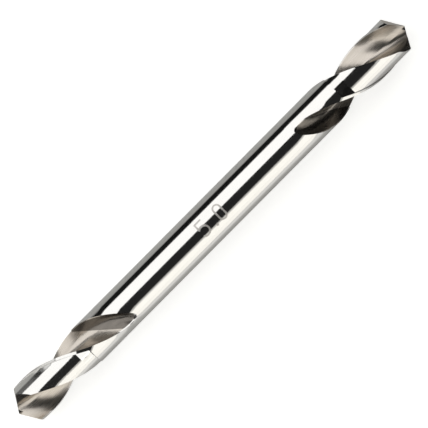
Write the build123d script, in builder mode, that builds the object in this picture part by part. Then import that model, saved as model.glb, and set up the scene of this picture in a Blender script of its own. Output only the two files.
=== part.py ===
from build123d import *
import os
from math import atan2, cos, degrees, hypot, radians, sin, sqrt, tan

os.makedirs("parts", exist_ok=True)

# Sizes of the bit in millimetres and degrees; its axis lies along X with the origin at mid length
overall_length = 62.0
drill_diameter = 5.0
back_taper = 0.02
tapered_length = 18.0
flute_lead = 28.8
web_thickness = 0.73
full_flute_depth = 9.5
runout_wheel_radius = 15.5
runout_direction = 68.0
heel_corner_radius = 0.9
heel_corner_turn = 68.0

# Sizes of the land behind each cutting edge
margin_width = 0.37
clearance_depth = 0.1
clearance_length = 10.85
clearance_sweep = 110.0

# Sizes of the split point
point_angle = 118.0
lip_relief = 15.0
gash_floor_slope = 51.0
gash_floor_bearing = 60.0
gash_wall_angle = 45.0
chisel_left = 0.08

# How far each point is turned about the axis
left_turn = 14.5
right_turn = 46.0

# How far the cutting tools reach past the rod, and how many sections they are lofted through
tool_overrun = 1.2
flute_steps = 26
clearance_steps = 12

# Sizes that follow from the ones above
drill_radius = drill_diameter / 2
half_web = web_thickness / 2
half_point = radians(point_angle / 2)
turn_per_mm = 360 / flute_lead
tool_reach = drill_radius + tool_overrun
runout_length = sqrt(2 * runout_wheel_radius * drill_radius - drill_radius**2)
margin_angle = degrees(margin_width / drill_radius)


def lip_depth(across):
    """Depth of the lip behind the apex, at a distance across from the axis."""
    return across / tan(half_point) - half_web * tan(radians(lip_relief))


def lip_face_point(across):
    """Point of the flute section that grinds out as a straight lip."""
    radius = hypot(across, half_web)
    angle = atan2(half_web, across) + radians(turn_per_mm * lip_depth(across))
    return (radius * cos(angle), radius * sin(angle))


def runout_lift(depth):
    """Outward shift of the flute section where the grinding wheel leaves the bit."""
    along = max(0.0, depth - full_flute_depth)
    return runout_wheel_radius - sqrt(runout_wheel_radius**2 - along**2)


def station(depth, lift=0.0):
    """Plane across the bit at a depth behind the apex, turned with the helix and lifted."""
    turned = Location((0, 0, -depth), (0, 0, -turn_per_mm * depth))
    lifted = Location(Vector(lift, 0, 0).rotate(Axis.Z, runout_direction))
    return Plane(turned * lifted)


# Flute tool: the flute section carried back along the helix and lifted out at its end
lip_face = [lip_face_point(tool_reach * share) for share in (1, 0.75, 0.5, 0.3, 0.15, 0)]
flute_tool_length = tool_overrun + full_flute_depth + runout_length
with BuildPart() as flute_tool:
    for step in range(flute_steps + 1):
        depth = flute_tool_length * step / flute_steps - tool_overrun
        with BuildSketch(station(depth, runout_lift(depth))):
            with BuildLine():
                lip_side = Spline(lip_face)
                heel_corner = JernArc(lip_side @ 1, lip_side % 1, heel_corner_radius, -heel_corner_turn)
                heel_wall = Line(heel_corner @ 1, heel_corner @ 1 + heel_corner % 1 * drill_radius)
                outside = (lip_side @ 0 + heel_wall @ 1).normalized() * tool_reach
                ThreePointArc(heel_wall @ 1, outside, lip_side @ 0)
            make_face()
    loft()

# Clearance tool: the strip ground off each land behind its margin
lip_corner_x = sqrt(drill_radius**2 - half_web**2)
lip_corner_turn = degrees(atan2(half_web, lip_corner_x)) + turn_per_mm * lip_depth(lip_corner_x)
with BuildPart() as clearance_tool:
    for step in range(clearance_steps + 1):
        depth = (tool_overrun + clearance_length) * step / clearance_steps - tool_overrun
        with BuildSketch(station(depth).rotated((0, 0, lip_corner_turn - margin_angle))):
            with BuildLine():
                inner = CenterArc((0, 0), drill_radius - clearance_depth, 0, -clearance_sweep)
                outer = CenterArc((0, 0), tool_reach, 0, -clearance_sweep)
                Line(inner @ 0, outer @ 0)
                Line(inner @ 1, outer @ 1)
            make_face()
    loft()

# Point tool: the space in front of one flat lip facet
block_side = 3 * drill_diameter
facet = Plane((0, 0, 0), z_dir=(1 / tan(half_point), -tan(radians(lip_relief)), 1))
with BuildPart() as point_tool:
    with BuildSketch(facet):
        Rectangle(block_side, block_side)
    extrude(amount=block_side)

# Gash tool: the notch that splits the web, with its wall along the inner lip
floor_normal = Vector(tan(radians(gash_floor_slope)), 0, 1).rotate(Axis.Z, gash_floor_bearing)
gash_floor = Plane((0, 0, 0), z_dir=floor_normal)
gash_wall = Plane((0, 0, 0), z_dir=Vector(0, 1, 0).rotate(Axis.Z, gash_wall_angle))
with BuildPart() as gash_tool:
    with BuildSketch(gash_floor):
        Rectangle(block_side, block_side)
    extrude(amount=block_side)
    split(bisect_by=gash_wall.offset(chisel_left / 2))

# The bit: a ground rod with the same tools applied at both ends
half_length = overall_length / 2
left_lips = Vector(0, 1, 0).rotate(Axis.X, -left_turn)
right_lips = Vector(0, 1, 0).rotate(Axis.X, right_turn)
left_point = Plane((-half_length, 0, 0), x_dir=left_lips, z_dir=(-1, 0, 0))
right_point = Plane((half_length, 0, 0), x_dir=right_lips, z_dir=(1, 0, 0))
shank_half = half_length - tapered_length
shank_radius = (drill_diameter - back_taper) / 2
with BuildPart() as drill_bit:
    with BuildSketch(Plane.XY):
        with BuildLine():
            Polyline(
                (-half_length, 0),
                (-half_length, drill_radius),
                (-shank_half, shank_radius),
                (shank_half, shank_radius),
                (half_length, drill_radius),
                (half_length, 0),
                close=True,
            )
        make_face()
    revolve(axis=Axis.X)
    with Locations(left_point, right_point):
        with PolarLocations(0, 2):
            add(flute_tool.part, mode=Mode.SUBTRACT)
            add(clearance_tool.part, mode=Mode.SUBTRACT)
            add(point_tool.part, mode=Mode.SUBTRACT)
            add(gash_tool.part, mode=Mode.SUBTRACT)

drill_bit.part.label = "drill_bit"
export_step(drill_bit.part, "parts/drill_bit.step")
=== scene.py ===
# %% [markdown]
# # A double-ended drill bit
# The real object is one ground rod of high-speed steel with a twist point at
# each end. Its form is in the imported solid, so this lesson adds what the solid
# doesn't hold: the grinding finishes, the etched size, and the studio that
# makes polished steel readable.

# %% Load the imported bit
import math

import bpy
from mathutils import Matrix, Vector

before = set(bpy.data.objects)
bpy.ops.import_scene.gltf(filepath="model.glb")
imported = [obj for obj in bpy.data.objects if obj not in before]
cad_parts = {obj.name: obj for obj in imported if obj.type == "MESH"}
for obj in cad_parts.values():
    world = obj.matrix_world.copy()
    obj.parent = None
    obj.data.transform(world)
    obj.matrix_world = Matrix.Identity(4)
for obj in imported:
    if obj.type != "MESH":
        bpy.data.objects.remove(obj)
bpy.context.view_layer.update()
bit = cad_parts["drill_bit"]
MM = 0.001

# %% [markdown]
# ## Shader maths as plain expressions
# A finish is a recipe of small sums on positions. Wiring Math nodes by hand
# hides the recipe, so a socket is wrapped in a class whose operators add the
# nodes, and one method makes every node.


# %% A socket that does arithmetic
class Signal:
    """One output socket of a node, which can be used in sums."""

    def __init__(self, graph, socket):
        self.graph = graph
        self.socket = socket

    def __add__(self, other):
        return self.graph.maths("ADD", self, other)

    def __radd__(self, other):
        return self.graph.maths("ADD", other, self)

    def __sub__(self, other):
        return self.graph.maths("SUBTRACT", self, other)

    def __rsub__(self, other):
        return self.graph.maths("SUBTRACT", other, self)

    def __mul__(self, other):
        return self.graph.maths("MULTIPLY", self, other)

    def __rmul__(self, other):
        return self.graph.maths("MULTIPLY", other, self)

    def __truediv__(self, other):
        return self.graph.maths("DIVIDE", self, other)

    def __rtruediv__(self, other):
        return self.graph.maths("DIVIDE", other, self)

    def __pow__(self, other):
        return self.graph.maths("POWER", self, other)

    def __rpow__(self, other):
        return self.graph.maths("POWER", other, self)

    def __abs__(self):
        return self.graph.maths("ABSOLUTE", self)


print("sockets can be used in sums")


# %% A node tree that makes its nodes by one method
class Graph:
    """A node tree whose nodes come from one method, node."""

    def __init__(self, tree):
        self.tree = tree
        tree.nodes.clear()

    def node(self, kind, settings=None, sockets=None, output=0):
        """Set the settings, then give each socket a value or a link.

        Gives back one output, or a list where output is a tuple.
        """
        made = self.tree.nodes.new(kind)
        for name, value in (settings or {}).items():
            setattr(made, name, value)
        for key, value in (sockets or {}).items():
            if isinstance(value, Signal):
                self.tree.links.new(value.socket, made.inputs[key])
            else:
                made.inputs[key].default_value = value
        if isinstance(output, tuple):
            return [Signal(self, made.outputs[key]) for key in output]
        return Signal(self, made.outputs[output]) if made.outputs else None

    def maths(self, operation, first, second=0.0):
        return self.node("ShaderNodeMath", {"operation": operation}, {0: first, 1: second})

    def smaller(self, first, second):
        return self.maths("MINIMUM", first, second)

    def larger(self, first, second):
        return self.maths("MAXIMUM", first, second)

    def parts(self, vector):
        """The x, y and z of a vector."""
        return self.node("ShaderNodeSeparateXYZ", None, {0: vector}, output=("X", "Y", "Z"))

    def point(self, x, y, z):
        return self.node("ShaderNodeCombineXYZ", None, {0: x, 1: y, 2: z})

    def ease(self, value, start, end):
        """0 before start, 1 after end, and smooth between them."""
        return self.node(
            "ShaderNodeMapRange",
            {"interpolation_type": "SMOOTHSTEP"},
            {"Value": value, "From Min": start, "From Max": end},
        )

    def edge(self, value, place, blur):
        """0 below a place and 1 above it, with a blur on both sides."""
        return self.ease(value, place - blur, place + blur)

    def blend(self, share, first, second):
        """A colour between two colours. 6, 7 and 2 are the Mix node's colour sockets."""
        sockets = {0: share, 6: first, 7: second}
        return self.node("ShaderNodeMix", {"data_type": "RGBA"}, sockets, output=2)

    def grain(self, place, detail):
        """Soft noise from 0 to 1 at a place."""
        sockets = {"Vector": place, "Scale": 1.0, "Detail": detail, "Roughness": 0.6}
        return self.node("ShaderNodeTexNoise", None, sockets)


def new_finish(name):
    """A new material, and the graph of its nodes."""
    material = bpy.data.materials.new(name)
    material.use_nodes = True
    return material, Graph(material.node_tree)


print("graph helpers ready")

# %% [markdown]
# ## Where am I on the bit?
# Every finish follows the way its wheel ran. Centreless grinding leaves rings
# round the shank, and the flute wheel leaves lines along the helix. So the
# material first works out, in millimetres, how far along, how far out and how
# far round a point is. Then it turns the point back by the helix, so that a
# line along a flute becomes a straight line.

# %% Places on the bit, in millimetres
HALF_LENGTH = 31.0
FLUTE_LEAD = 28.8
HELIX_TURN = math.radians(360 / FLUTE_LEAD)

steel, metal = new_finish("ground_steel")
bit_place = metal.node("ShaderNodeTexCoord", output="Object")
along, side, height = [part / MM for part in metal.parts(bit_place)]
radius = (side * side + height * height) ** 0.5
around = metal.maths("ARCTAN2", side, height)
depth = HALF_LENGTH - abs(along)
at_right = metal.maths("SIGN", along)
unwound = around + along * HELIX_TURN
straight_side = radius * metal.maths("SINE", unwound)
straight_height = radius * metal.maths("COSINE", unwound)
print("the helix turns", round(math.degrees(HELIX_TURN), 1), "degrees in each mm")

# %% [markdown]
# ## Which wheel cut this spot?
# The shank, margins and lands were ground on the outside, so they lie at the
# full radius, and everything deeper belongs to the flutes and the points. The
# clearance behind each margin is a little lower than the margin, and the narrow
# wall between the two is matt. Masks on the radius find these surfaces wherever
# they run, with no picture to paint.

# %% Land, clearance and the step beside the margin
LAND_RADIUS, LAND_BLUR = 2.365, 0.015
CLEARANCE_RADIUS, CLEARANCE_BLUR = 2.45, 0.01
STEP_FOOT, STEP_TOP, STEP_BLUR = 2.412, 2.482, 0.004
STEP_END, STEP_END_BLUR = 10.65, 0.05

land = metal.edge(radius, LAND_RADIUS, LAND_BLUR)
clearance = land * (1 - metal.edge(radius, CLEARANCE_RADIUS, CLEARANCE_BLUR))
on_step = metal.edge(radius, STEP_FOOT, STEP_BLUR) * (1 - metal.edge(radius, STEP_TOP, STEP_BLUR))
step = on_step * (1 - metal.edge(depth, STEP_END, STEP_END_BLUR))
print("the land starts", LAND_RADIUS, "mm from the axis")

# %% [markdown]
# ## How the clearance ends
# The clearance wheel left each land in a shallow ramp with a thin cross line at
# its end, and the land at the right reflects as if it were a little flatter
# than a cylinder. The solid ends the clearance in one step, a tenth of a
# millimetre high. Over the ramp, the line and the right land only the normal
# leans, so the light shows them and the solid stays as it is.

# %% Lean of the ramp, the cross line and the right land
# Places are in millimetres, and leans are slopes that are added to the normal
RAMP_START, RAMP_BLUR = 9.4, 0.1
RAMP_SIDE, RAMP_SIDE_BLUR = 0.6, 0.1
LEFT_RAMP_LEAN, RIGHT_RAMP_LEAN = 0.17, 0.32
LINE_START, LINE_END, LINE_BLUR = 10.78, 10.96, 0.01
LINE_LEAN = 0.77
MIDDLE_BLUR = 1.0
FLATTER = 0.104
FLAT_FROM = -0.7
FLAT_TO, FLAT_TO_BLUR = 0.9, 0.2

right_end = metal.edge(along, 0.0, MIDDLE_BLUR)
ramp_side = 1 - metal.edge(side, RAMP_SIDE, RAMP_SIDE_BLUR)
ramp = clearance * metal.edge(depth, RAMP_START, RAMP_BLUR) * ramp_side
past_line = metal.edge(depth, LINE_END, LINE_BLUR)
end_line = metal.edge(depth, LINE_START, LINE_BLUR) * (1 - past_line)
ramp_lean = LEFT_RAMP_LEAN + right_end * (RIGHT_RAMP_LEAN - LEFT_RAMP_LEAN)
end_lean = ramp * (ramp_lean + end_line * (LINE_LEAN - ramp_lean))
flat_side = metal.larger(side - FLAT_FROM, 0.0) * (1 - metal.edge(side, FLAT_TO, FLAT_TO_BLUR))
side_lean = clearance * right_end * FLATTER * flat_side
print("the cross line lies", LINE_START, "to", LINE_END, "mm from each point")

# %% [markdown]
# ## Where the flute wheel lifts out
# On the real bit a straight crease crosses each run-out, and the metal beyond
# it looks darker, as if the wheel left the flute in two strokes. A second cut in
# the solid could make it. Here the dark is painted shade: a much darker satin
# colour past a plane that turns with the point, and the right point stands 31.5
# degrees round from the left one.

# %% The crease across each run-out
CREASE_DEPTH = 13.4
CREASE_SLOPE = 1.143
CREASE_BLUR = 0.08
POINT_TURN = math.radians(31.5)

turned_side = side * math.cos(POINT_TURN) + height * math.sin(POINT_TURN)
turned_height = side * math.sin(POINT_TURN) - height * math.cos(POINT_TURN)
flute_side = side + right_end * (turned_side - side)
flute_height = height + right_end * (turned_height - height)
which_flute = metal.maths("SIGN", flute_height)
slanted_depth = depth + flute_side * which_flute * CREASE_SLOPE
# Painted shade: past the crease the flute gets a darker colour instead of a second cut
painted_shade_past_crease = (1 - land) * metal.edge(slanted_depth, CREASE_DEPTH, CREASE_BLUR)
print("the crease crosses the axis", CREASE_DEPTH, "mm from each point")

# %% [markdown]
# ## The grain of each finish
# Stretched noise does for every grinding line. Stretched round the bit it gives
# the rings of the shank, and stretched along the unwound helix it gives the
# lines of the flute wheel. Noise of the same scale all ways gives soft clouds,
# fine specks and the dots of the etch.


# %% Grain across the bit and along the helix
def bit_grain(along_scale, across_scale, detail=3.0):
    """Noise with its own scale along the axis and across it."""
    place = metal.point(along * along_scale, side * across_scale, height * across_scale)
    return metal.grain(place, detail)


def helix_grain(along_scale, across_scale, detail=3.0):
    """The same noise, wound round the bit with the flutes."""
    across = (straight_side * across_scale, straight_height * across_scale)
    return metal.grain(metal.point(along * along_scale, *across), detail)


SPECK_START, SPECK_END = 0.68, 0.78
rings = bit_grain(13.0, 0.3)
cloud = bit_grain(0.6, 0.6, 2.0)
specks = metal.ease(bit_grain(5.0, 5.0, 2.0), SPECK_START, SPECK_END)
etch_dots = bit_grain(9.0, 9.0, 1.0)
wheel_lines = helix_grain(0.25, 11.0)
broad_lines = helix_grain(0.12, 2.2, 2.0)
print("grain ready, nodes so far:", len(steel.node_tree.nodes))

# %% [markdown]
# ## The size mark
# Drill makers etch the size on the shank. A plain 5.0 stands here in thin
# strokes, worked out as distances to lines and circles, because the mark is
# only a change of finish: the etched metal is matt, so it looks pale against
# the black reflection and grey against the white one.


# %% Distances to a dot and to a bar
def dot_distance(across, up):
    return (across * across + up * up) ** 0.5


def bar_distance(across, up, start, length, upright):
    """Distance to an upright or level bar from its lower or left end."""
    run, rest = (up, across) if upright else (across, up)
    run = run - (start[1] if upright else start[0])
    rest = rest - (start[0] if upright else start[1])
    beyond = run - metal.smaller(metal.larger(run, 0.0), length)
    return dot_distance(beyond, rest)


print("distance helpers ready")

# %% Strokes of the mark
# Millimetres, with each figure's places taken from its own centre
SHANK_RADIUS = 2.49
FIVE_CENTRE, POINT_CENTRE, NOUGHT_CENTRE = -1.45, 0.1, 1.25
FIVE_LEFT, FIVE_TOP, FIVE_WIDTH, FIVE_STEM = -0.42, 0.95, 0.88, 0.82
BOWL_HEIGHT, BOWL_RADIUS, BOWL_OPENING, OPENING_STRENGTH = -0.33, 0.62, -0.44, 4
NOUGHT_STRAIGHT, NOUGHT_RADIUS = 1.04, 0.45
POINT_HEIGHT, POINT_RADIUS = -0.88, 0.06

wrap = around * SHANK_RADIUS
five = along - FIVE_CENTRE
top_bar = bar_distance(five, wrap, (FIVE_LEFT, FIVE_TOP), FIVE_WIDTH, False)
stem = bar_distance(five, wrap, (FIVE_LEFT, FIVE_TOP - FIVE_STEM), FIVE_STEM, True)
ring = abs(dot_distance(five, wrap - BOWL_HEIGHT) - BOWL_RADIUS)
bowl = ring + metal.larger(BOWL_OPENING - five, 0.0) * OPENING_STRENGTH
dot = dot_distance(along - POINT_CENTRE, wrap - POINT_HEIGHT) - POINT_RADIUS
spine_foot = (0, -NOUGHT_STRAIGHT / 2)
spine = bar_distance(along - NOUGHT_CENTRE, wrap, spine_foot, NOUGHT_STRAIGHT, True)
nought = abs(spine - NOUGHT_RADIUS)
nearest = metal.larger(dot, 0.0)
for stroke in (top_bar, stem, bowl, nought):
    nearest = metal.smaller(nearest, stroke)
print("mark height in mm:", 2 * NOUGHT_RADIUS + NOUGHT_STRAIGHT)

# %% The etched mark
STROKE, STROKE_EDGE = 0.075, 0.06
MARK_STRENGTH = 0.85
TOP_START, TOP_END = 0.5, 1.0

on_top = metal.ease(height, TOP_START, TOP_END)
mark = (1 - metal.ease(nearest, STROKE, STROKE + STROKE_EDGE)) * on_top * MARK_STRENGTH
print("stroke width in mm:", 2 * STROKE)

# %% [markdown]
# ## The steel
# Polished high-speed steel is a slightly warm grey mirror. The shank and lands
# are bright, while the flutes and the points are satin and browner. One
# material holds all of them, because a real bit is one metal whose finish
# changes at the wheel's edge.

# %% Colour and roughness
satin = metal.blend(broad_lines, (0.44, 0.40, 0.35, 1), (0.59, 0.545, 0.49, 1))
# Painted shade: the near-black satin colour used past the run-out crease
painted_shade_satin = metal.blend(broad_lines, (0.13, 0.12, 0.105, 1), (0.21, 0.19, 0.17, 1))
polish = metal.blend(cloud, (0.70, 0.69, 0.665, 1), (0.73, 0.72, 0.70, 1))
etched = metal.blend(etch_dots, (0.36, 0.34, 0.32, 1), (0.60, 0.58, 0.545, 1))
flutes = metal.blend(painted_shade_past_crease, satin, painted_shade_satin)
colour = metal.blend(mark, metal.blend(land, flutes, polish), etched)

polished = 0.07 + rings * 0.05 + specks * 0.08 + step * 0.5
ground = 0.20 + wheel_lines * 0.12 + cloud * 0.05
matt_etch = 0.38 + etch_dots * 0.15
roughness = land * polished + (1 - land) * ground + mark * matt_etch
print("four finishes: satin, burnt, polish and etched")

# %% [markdown]
# ## Grinding lines that catch the light
# The lines are only microns deep, so a Bump node raises them over the leaned
# normal. The etch is deeper than the lines, which gives the mark its edge.

# %% Normal and shader
LINE_DEPTH = 0.004 * MM
BUMP_STRENGTH = 0.35
RING_SHARE, ETCH_SHARE = 0.10, 1.5

lean = metal.point(at_right * end_lean, 0 - side_lean, 0.0)
straight = metal.node("ShaderNodeNewGeometry", output="Normal")
leaning = metal.node("ShaderNodeVectorMath", {"operation": "ADD"}, {0: straight, 1: lean})
leaning = metal.node("ShaderNodeVectorMath", {"operation": "NORMALIZE"}, {0: leaning})
lines = land * rings * RING_SHARE + (1 - land) * wheel_lines - mark * ETCH_SHARE
bump = metal.node(
    "ShaderNodeBump",
    None,
    {"Strength": BUMP_STRENGTH, "Distance": LINE_DEPTH, "Height": lines, "Normal": leaning},
)
surface = metal.node(
    "ShaderNodeBsdfPrincipled",
    None,
    {"Base Color": colour, "Metallic": 1.0, "Roughness": roughness, "Normal": bump},
)
metal.node("ShaderNodeOutputMaterial", None, {"Surface": surface})
bit.data.materials[0] = steel
print("steel nodes:", len(steel.node_tree.nodes))

# %% [markdown]
# ## The paper floor
# The bit lies on white paper. Brighter lamps would make the paper white but
# burn out the steel, so the paper glows a little for the camera instead, and
# still takes the shadow of the bit. It glows for reflections too, but close to
# the bit that glow is left out as a painted shadow of the bit.


# %% Rays that go to the camera or to metal
def ray_kinds(graph):
    """Whether a ray comes from the camera, and whether it comes from metal or glass."""
    kinds = ("Is Camera Ray", "Is Glossy Ray", "Is Transmission Ray")
    straight, glossy, through = graph.node("ShaderNodeLightPath", output=kinds)
    return straight, graph.smaller(glossy + through, 1.0)


print("ray helper ready")

# %% Floor
BIT_RADIUS = 2.5
FLOOR_HEIGHT = -BIT_RADIUS * MM
FLOOR_SIZE = 6.0
CAMERA_GLOW, METAL_GLOW = 0.66, 0.40
PAINTED_SHADOW_FADE_START, PAINTED_SHADOW_FADE_END = 6.0, 17.0
PAPER_COLOUR, GLOW_COLOUR = (0.60, 0.60, 0.59, 1), (1, 1, 0.985, 1)
NO_LIGHT = (0, 0, 0, 1)

bpy.ops.mesh.primitive_plane_add(size=FLOOR_SIZE, location=(0, 0, FLOOR_HEIGHT))
floor = bpy.context.object
floor.name = "floor"
paper, sheet = new_finish("white_paper")
beside = abs(sheet.parts(sheet.node("ShaderNodeNewGeometry", output="Position"))[1] / MM)
in_camera, in_metal = ray_kinds(sheet)
# Painted shadow: the glow that the metal sees fades out close to the bit
paper_outside_painted_shadow = sheet.ease(beside, PAINTED_SHADOW_FADE_START, PAINTED_SHADOW_FADE_END)
glow_level = in_camera * CAMERA_GLOW + in_metal * paper_outside_painted_shadow * METAL_GLOW
glow_colour = sheet.blend(glow_level, NO_LIGHT, GLOW_COLOUR)
matt = sheet.node("ShaderNodeBsdfDiffuse", None, {"Color": PAPER_COLOUR})
glow = sheet.node("ShaderNodeEmission", None, {"Color": glow_colour, "Strength": 1.0})
both = sheet.node("ShaderNodeAddShader", None, {0: matt, 1: glow})
sheet.node("ShaderNodeOutputMaterial", None, {"Surface": both})
floor.data.materials.append(paper)
print("floor height in mm:", FLOOR_HEIGHT / MM)

# %% [markdown]
# ## Soft boxes
# A polished rod shows its studio rather than itself. A spot on the shank
# mirrors the sky at twice its own slope, so each box is placed by its angle
# from straight up. Long boxes run parallel to the bit on both sides, and the
# dark gap between them draws the black stripe down its middle. A feather
# softens the upper edge of the lower box, and a dim skirt fills the strip below
# it. The boxes past the left end light the ramp and the left point, and the one
# past the right end lights the other point.

# %% A soft box beside the bit
BOX_DISTANCE = 0.22
BOX_BRIGHTNESS = 1.37


def soft_box(name, angles, places, share, colour):
    """A panel between two angles from straight up and two places along X."""
    middle = math.radians((angles[0] + angles[1]) / 2)
    half = math.radians(abs(angles[1] - angles[0]) / 2)
    lamp = bpy.data.lights.new(name, "AREA")
    lamp.shape = "RECTANGLE"
    lamp.color = colour
    lamp.size = places[1] - places[0]
    lamp.size_y = 2 * BOX_DISTANCE * math.tan(half)
    lamp.energy = share * BOX_BRIGHTNESS * math.pi * lamp.size * lamp.size_y
    panel = bpy.data.objects.new(name, lamp)
    away = Vector((0, math.sin(middle), math.cos(middle)))
    long_side = Vector((1, 0, 0))
    panel.location = away * BOX_DISTANCE + long_side * sum(places) / 2
    turn = Matrix((long_side, away.cross(long_side), away)).transposed()
    panel.rotation_mode = "QUATERNION"
    panel.rotation_quaternion = turn.to_quaternion()
    panel.visible_camera = False
    bpy.context.scene.collection.objects.link(panel)


print("soft box helper ready, boxes", BOX_DISTANCE, "m away")

# %% The boxes
WHITE = (1.0, 1.0, 1.0)
WARM = (1.0, 0.985, 0.94)
AMBER = (1.0, 0.94, 0.78)
# Angles from straight up, places along X in metres, share of the brightness, colour
BOXES = {
    "upper_box": ((12, 67), (-0.6, 0.12), 1.0, WHITE),
    "lower_box": ((-41, -69), (-0.11, 0.12), 1.0, WARM),
    "lower_feather": ((-33, -41), (-0.11, 0.12), 0.45, WARM),
    "lower_skirt": ((-69, -90), (-0.13, 0.12), 0.27, AMBER),
    "left_box": ((-24, 12), (-0.6, -0.07), 1.0, WHITE),
    "ramp_box": ((-41, -24), (-0.125, -0.07), 1.0, WHITE),
    "far_box": ((30, 67), (0.12, 0.8), 1.0, WHITE),
}
for name, box in BOXES.items():
    soft_box(name, *box)
print("soft boxes:", len(BOXES))

# %% [markdown]
# ## Black cards
# In a white room the edges of polished steel melt into the background, so a
# photographer stands black cards beside it. Here one stands beyond each point,
# and a card of black gauze stands along the far side with a slip of the same
# gauze on the floor before it. The gauze thins towards the bit, so the black
# line in the steel fades to grey at its edge, and it is thinner all over beside
# the left tip. A gap between that piece and the rest lets one bright notch
# through.

# %% Velvet and gauze
# Places are in millimetres
BLACK = (0.012, 0.012, 0.012, 1)
GAUZE_NEAR, GAUZE_DEPTH = 6.2, 19.8
GAUZE_STRENGTH, GAUZE_CURVE = 0.92, 0.7
GAUZE_FOOT, GAUZE_FULL = -2.4, 1.5
THIN_START, THIN_END, THIN_SHARE = 27.8, 29.0, 0.16

velvet, pile = new_finish("black_velvet")
velvet_black = pile.node("ShaderNodeBsdfDiffuse", None, {"Color": BLACK})
pile.node("ShaderNodeOutputMaterial", None, {"Surface": velvet_black})

gauze, weave = new_finish("black_gauze")
gauze_place = weave.parts(weave.node("ShaderNodeNewGeometry", output="Position"))
to_right, across, above = [part / MM for part in gauze_place]
across = weave.larger((across - GAUZE_NEAR) / GAUZE_DEPTH, 0.0)
thinner = 1 - THIN_SHARE * weave.ease(0 - to_right, THIN_START, THIN_END)
slip_cover = GAUZE_STRENGTH * across ** GAUZE_CURVE
card_cover = weave.ease(above, GAUZE_FOOT, GAUZE_FULL)
cover = weave.smaller(slip_cover + card_cover, 1.0) * thinner
gauze_black = weave.node("ShaderNodeBsdfDiffuse", None, {"Color": BLACK})
clear = weave.node("ShaderNodeBsdfTransparent")
faded = weave.node("ShaderNodeMixShader", None, {0: cover, 1: clear, 2: gauze_black})
weave.node("ShaderNodeOutputMaterial", None, {"Surface": faded})
print("two cloths: velvet and gauze")

# %% A card that only the metal sees
JUST_ABOVE = FLOOR_HEIGHT + 0.05 * MM


def black_card(name, corners, cloth):
    """A card that neither the camera, the shadows nor the soft light meet."""
    mesh = bpy.data.meshes.new(name)
    mesh.from_pydata(corners, [], [(0, 1, 2, 3)])
    card = bpy.data.objects.new(name, mesh)
    bpy.context.scene.collection.objects.link(card)
    mesh.materials.append(cloth)
    card.visible_camera = False
    card.visible_diffuse = False
    card.visible_shadow = False


def standing(first, second, top):
    """Corners of a card that stands on the floor between two places."""
    return [(*first, FLOOR_HEIGHT), (*second, FLOOR_HEIGHT), (*second, top), (*first, top)]


def lying(start, end, near, far):
    """Corners of a slip that lies just above the floor."""
    outline = [(start, near), (end, near), (end, far), (start, far)]
    return [(*corner, JUST_ABOVE) for corner in outline]


print("card helpers ready")

# %% The cards, in metres
NEAR, FAR = 0.006, 0.026
GAUZE_TOP = 0.011
GAUZE_SPANS = {"tip": (-0.15, -0.0270), "side": (-0.0236, 0.15)}
CARD_DISTANCE = 0.037
RIGHT_SIDES, RIGHT_TOP = (-0.06, 0.06), 0.022
LEFT_SIDES, LEFT_TOP = (-0.035, 0.004), 0.0065

for name, (start, end) in GAUZE_SPANS.items():
    black_card(name + "_card", standing((start, FAR), (end, FAR), GAUZE_TOP), gauze)
    black_card(name + "_slip", lying(start, end, NEAR, FAR), gauze)
right_foot = [(CARD_DISTANCE, across_place) for across_place in RIGHT_SIDES]
left_foot = [(-CARD_DISTANCE, across_place) for across_place in LEFT_SIDES]
black_card("right_card", standing(*right_foot, RIGHT_TOP), velvet)
black_card("left_card", standing(*left_foot, LEFT_TOP), velvet)
print("cards beside the bit:", 2 * len(GAUZE_SPANS) + 2)

# %% [markdown]
# ## The room
# Past the boxes, the steel mirrors the room. Low pale walls keep its sides from
# going black, and the dark ceiling leaves the gap between the boxes black. The
# world does for both, so no walls have to be built.

# %% World
WALLS, CEILING = (0.97, 0.97, 0.97, 1), (0.02, 0.02, 0.02, 1)
CEILING_START, CEILING_END = 0.30, 0.40

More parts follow.
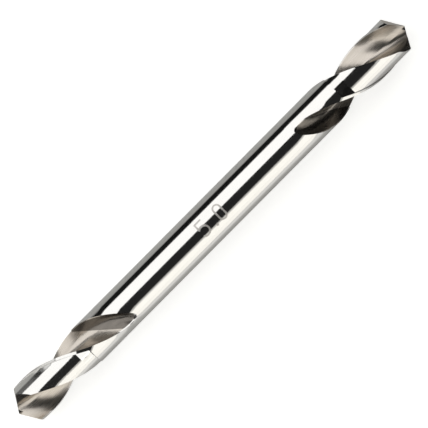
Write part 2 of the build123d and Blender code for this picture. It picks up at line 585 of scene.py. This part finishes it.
world = bpy.data.worlds.new("studio")
bpy.context.scene.world = world
world.use_nodes = True
air = Graph(world.node_tree)
upwards = air.parts(air.node("ShaderNodeTexCoord", output="Generated"))[2]
overhead = air.ease(upwards, CEILING_START, CEILING_END)
room = air.blend(overhead, WALLS, CEILING)
background = air.node("ShaderNodeBackground", None, {"Color": room, "Strength": 1.0})
air.node("ShaderNodeOutputWorld", None, {"Surface": background})
print("ceiling starts", round(math.degrees(math.asin(CEILING_START)), 1), "degrees up")

# %% [markdown]
# ## Camera
# The photograph looks straight down on the bit, which lies from the lower left
# corner to the upper right one. Its two apexes give the scale, the roll and the
# offset, so the camera is worked out from them and from the length of the bit.

# %% Scale, roll and offset, from the two apexes in pixels
PHOTO_PIXELS = 428
LEFT_APEX = (19.1, 413.5)
RIGHT_APEX = (404.3, 25.8)

apex_run = RIGHT_APEX[0] - LEFT_APEX[0]
apex_rise = LEFT_APEX[1] - RIGHT_APEX[1]
metres_per_pixel = 2 * HALF_LENGTH * MM / math.hypot(apex_run, apex_rise)
roll = math.atan2(apex_rise, apex_run)
middle_right = (LEFT_APEX[0] + RIGHT_APEX[0]) / 2
middle_down = (LEFT_APEX[1] + RIGHT_APEX[1]) / 2
offset_right = (PHOTO_PIXELS / 2 - middle_right) * metres_per_pixel
offset_up = (middle_down - PHOTO_PIXELS / 2) * metres_per_pixel
print("roll in degrees:", round(math.degrees(roll), 2))

# %% Camera
FOCAL_LENGTH, SENSOR_WIDTH = 300, 36

lens = bpy.data.cameras.new("camera")
lens.lens = FOCAL_LENGTH
lens.sensor_width = SENSOR_WIDTH
lens.clip_start = 0.01
lens.clip_end = 20
distance = PHOTO_PIXELS * metres_per_pixel * FOCAL_LENGTH / SENSOR_WIDTH
camera = bpy.data.objects.new("camera", lens)
bpy.context.scene.collection.objects.link(camera)
picture_right = Vector((math.cos(roll), -math.sin(roll), 0))
picture_up = Vector((math.sin(roll), math.cos(roll), 0))
offset = picture_right * offset_right + picture_up * offset_up
camera.location = offset + Vector((0, 0, distance))
camera.rotation_euler = (0, 0, -roll)
bpy.context.scene.camera = camera
bpy.context.scene.view_settings.view_transform = "Standard"
print("camera distance in m:", round(distance, 3))

# %% End of the scene
print("scene built")
